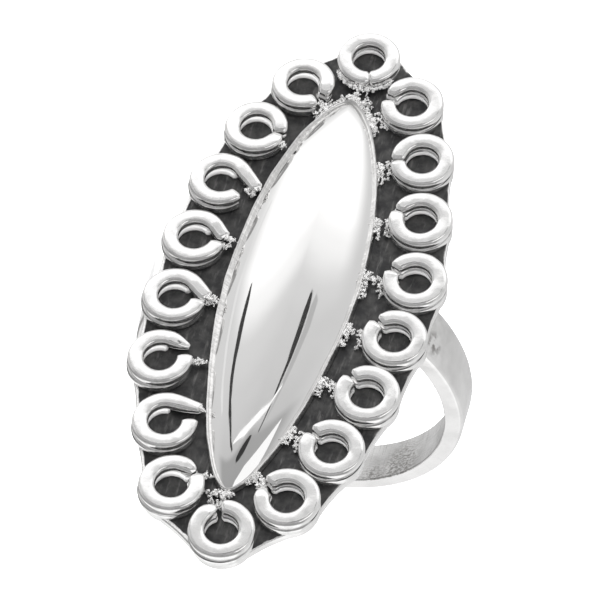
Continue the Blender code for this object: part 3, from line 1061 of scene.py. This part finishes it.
def hang_flag(name, glow, run):
    """A narrow sheet of an even glow, which only mirror images show."""
    form = bmesh.new()
    spots = [seen_at(across, rise) for across, rise, _ in run]
    pairs = []
    for index, (spot, (_, _, width)) in enumerate(zip(spots, run)):
        ahead = spots[min(index + 1, len(spots) - 1)] - spots[max(index - 1, 0)]
        side = spot.cross(ahead).normalized() * math.tan(math.radians(width / 2))
        pairs.append([form.verts.new((spot + side * sign) * FLAG_DISTANCE) for sign in (-1, 1)])
    for (a, b), (c, d) in zip(pairs, pairs[1:]):
        form.faces.new((a, b, d, c))
    mesh = bpy.data.meshes.new(name)
    form.to_mesh(mesh)
    form.free()
    felt = bpy.data.materials.new(name)
    felt.use_nodes = True
    nodes = Nodes(felt.node_tree)
    nodes.tree.nodes.clear()
    lamp = nodes.add("ShaderNodeEmission", {"Color": (glow, glow, glow, 1.0)})
    nodes.add("ShaderNodeOutputMaterial", {"Surface": lamp.outputs["Emission"]})
    mesh.materials.append(felt)
    item = bpy.data.objects.new(name, mesh)
    bpy.context.scene.collection.objects.link(item)
    item.visible_camera = False
    item.visible_diffuse = False
    item.visible_shadow = False


for name, glow, run in FLAGS:
    hang_flag(name, glow, run)

# The tent's brightness by the degrees above the camera's line, at its left, in its
# middle and at its right
TENT_LEFT = (
    (-120, 0.9), (-75, 0.95), (-50, 0.4), (-30, 0.3), (0, 0.3), (16, 0.48),
    (32, 0.63), (64, 0.7), (80, 0.76), (96, 0.88), (130, 0.95), (150, 0.95),
)
TENT_MIDDLE = (
    (-120, 0.9), (-75, 1.1), (-58, 1.0), (-45, 0.45), (-20, 0.28), (0, 0.31), (20, 0.37),
    (43, 0.4), (46, 0.6), (56, 0.66), (63, 0.72), (68, 1.02), (73, 1.2), (92, 1.2),
    (99, 0.9), (105, 0.7), (112, 0.78), (122, 0.96), (150, 1.0),
)
TENT_RIGHT = (
    (-120, 0.8), (-75, 0.75), (-50, 0.66), (-10, 0.62), (4, 0.62), (16, 0.64),
    (32, 0.66), (64, 0.7), (90, 0.64), (112, 0.74), (130, 0.94), (150, 0.95),
)
TENT_LOW = -120
TENT_HIGH = 150
TENT_SLOPE_START = 5.0
TENT_SLOPE = 0.35

world = bpy.data.worlds.new("tent")
bpy.context.scene.world = world
world.use_nodes = True
tent = Nodes(world.node_tree)
tent.tree.nodes.clear()
direction = tent.add("ShaderNodeTexCoord").outputs["Generated"]


def along_axis(axis):
    return tent.add("ShaderNodeVectorMath", {0: direction, 1: axis}, operation="DOT_PRODUCT").outputs["Value"]


def tent_ramp(stops, rise):
    """Brightness by degrees above the camera's line; brightness is stored halved."""
    share = tent.maths("DIVIDE", tent.minus(rise, TENT_LOW), TENT_HIGH - TENT_LOW)
    node = tent.add("ShaderNodeValToRGB", {"Fac": share})
    ramp = node.color_ramp
    ramp.interpolation = "EASE"
    while len(ramp.elements) < len(stops):
        ramp.elements.new(1.0)
    for element, (degrees, level) in zip(ramp.elements, stops):
        element.position = (degrees - TENT_LOW) / (TENT_HIGH - TENT_LOW)
        element.color = (level / 2, level / 2, level / 2, 1.0)
    return node.outputs["Color"]


off_line = tent.maths("ARCCOSINE", along_axis(view_axes[2]))
spread = tent.plus(tent.maths("SINE", off_line), 0.00001)
spread = tent.maths("DIVIDE", tent.times(off_line, 180 / math.pi), spread)
across = tent.times(along_axis(view_axes[0]), spread)
rise = tent.times(along_axis(view_axes[1]), spread)
past_slope = tent.larger(tent.minus(across, TENT_SLOPE_START), 0.0)
sloped = tent.plus(rise, tent.times(past_slope, TENT_SLOPE))
middle = tent_ramp(TENT_MIDDLE, sloped)
colour = tent.blend(tent.between(across, -72, -50), tent_ramp(TENT_LEFT, rise), middle)
colour = tent.blend(tent.between(across, 44, 62), colour, tent_ramp(TENT_RIGHT, rise))
glow = tent.add("ShaderNodeBackground", {"Color": colour, "Strength": 2.0}).outputs["Background"]
# The room: a plain white, for all that isn't a mirror image
room = tent.add("ShaderNodeBackground", {"Color": (1.0, 1.0, 1.0, 1.0), "Strength": 2.2})
mirrored = tent.add("ShaderNodeLightPath").outputs["Is Glossy Ray"]
both = tent.add("ShaderNodeMixShader", {"Fac": mirrored, 1: room.outputs["Background"], 2: glow})
tent.add("ShaderNodeOutputWorld", {"Surface": both.outputs["Shader"]})

softbox_light = bpy.data.lights.new("overhead_softbox", "AREA")
softbox_light.shape = "SQUARE"
softbox_light.size = 0.8
softbox_light.energy = 2.0
softbox = bpy.data.objects.new("overhead_softbox", softbox_light)
softbox.location = (-0.15, 0.1, 0.9)
softbox.rotation_euler = (-softbox.location).to_track_quat("-Z", "Y").to_euler()
softbox.visible_glossy = False
bpy.context.scene.collection.objects.link(softbox)

# The camera
# It looks at the plate from the photograph's side, 57 degrees above the plate,
# which is just above the table where the ring lies. It is rolled as the photograph is.

LENS = 236.0
camera_data = bpy.data.cameras.new("camera")
camera_data.lens = LENS
camera_data.sensor_width = 36.0
camera_data.clip_start = 0.01
camera_data.clip_end = 20.0
camera = bpy.data.objects.new("camera", camera_data)
right, up, back = view_axes
aim = laid @ VIEW_AIM
stand = Matrix.Translation(aim + back * VIEW_DISTANCE)
camera.matrix_world = stand @ Matrix((right, up, back)).transposed().to_4x4()
bpy.context.scene.collection.objects.link(camera)
bpy.context.scene.camera = camera
bpy.context.scene.view_settings.view_transform = "Standard"
